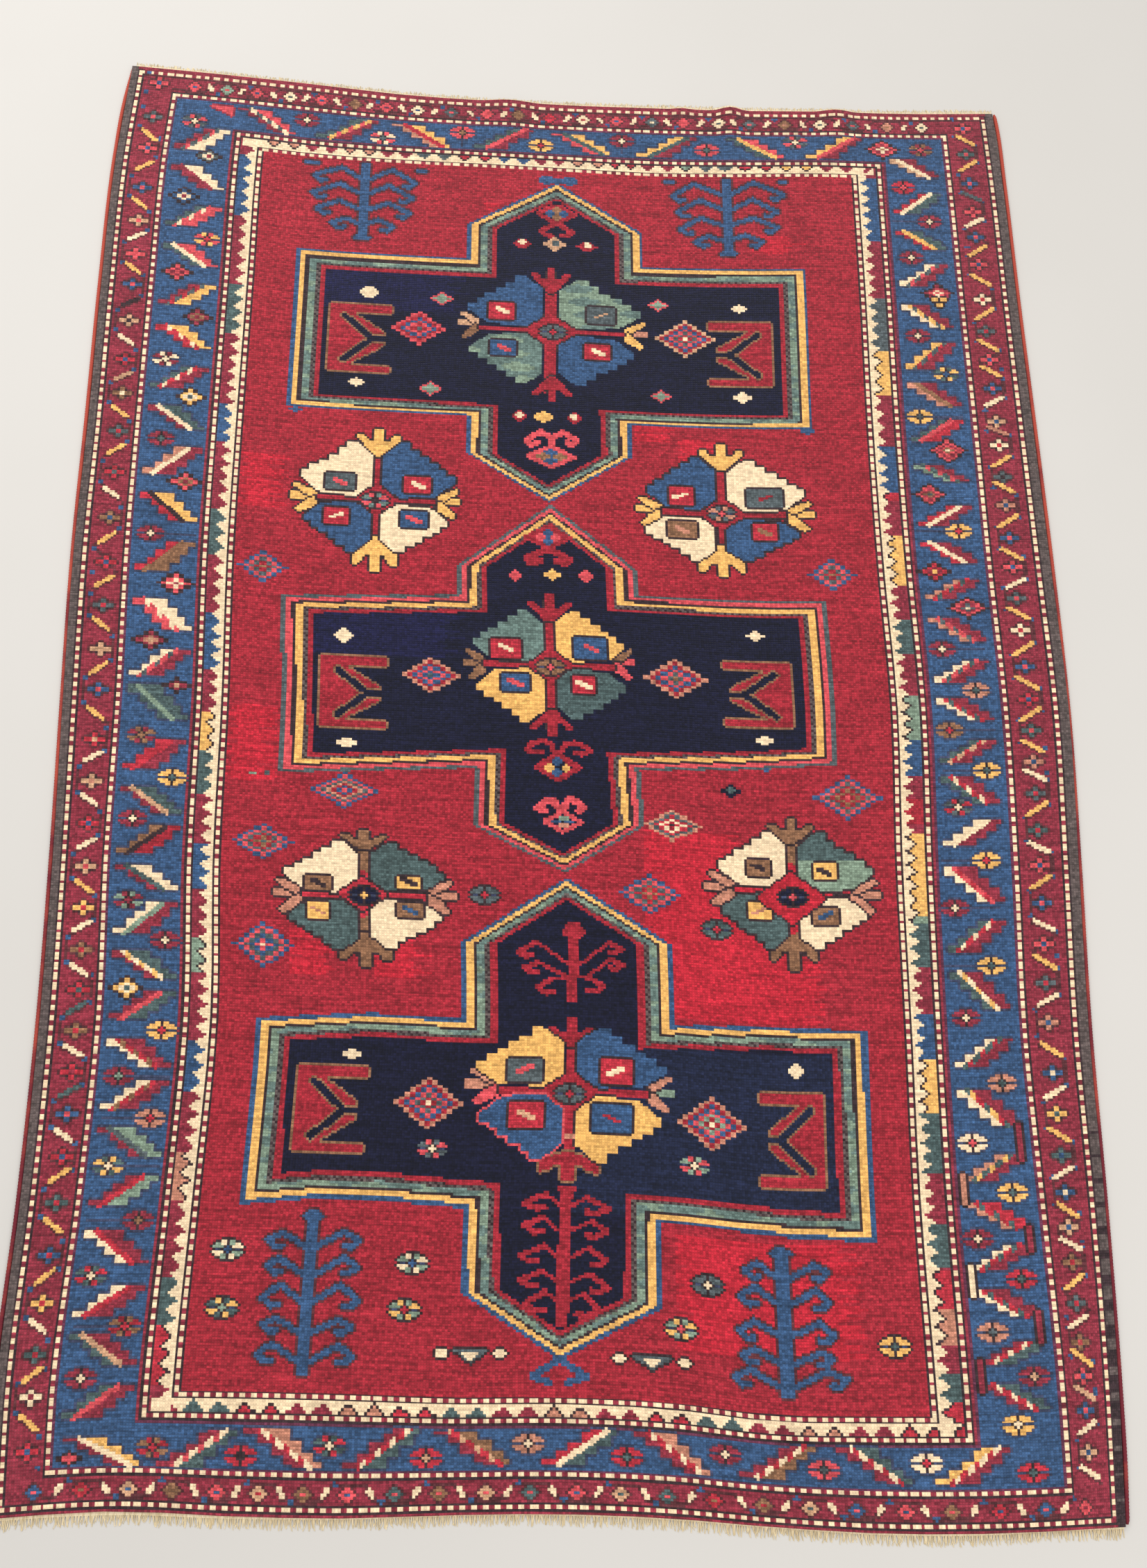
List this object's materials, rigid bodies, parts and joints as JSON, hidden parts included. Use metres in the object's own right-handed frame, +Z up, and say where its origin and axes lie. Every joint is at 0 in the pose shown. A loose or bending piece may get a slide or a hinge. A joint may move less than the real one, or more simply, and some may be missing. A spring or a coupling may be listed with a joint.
{
  "type": "kazak rug",
  "caption": "Hand-knotted wool area rug lying flat, with overcast side cords and a short warp fringe at both ends.",
  "frame": {"origin": "on the floor, under the middle of the whole outline with its fringes", "axes": "+X across the rug to the picture's right, +Y along its length to the picture's top end, +Z up out of the pile"},
  "size_m": [1.6312, 2.4076, 0.0153],
  "materials": {
    "knotted_wool": "matt cut pile",
    "overcast_wool": "matt wrapped yarn",
    "warp_wool": "matt spun yarn"
  },
  "bodies": {
    "root": {"rug": "knotted_wool", "side_cord_left": "overcast_wool", "side_cord_right": "overcast_wool", "fringe_top": "warp_wool", "fringe_bottom": "warp_wool"}
  },
  "joints": []
}
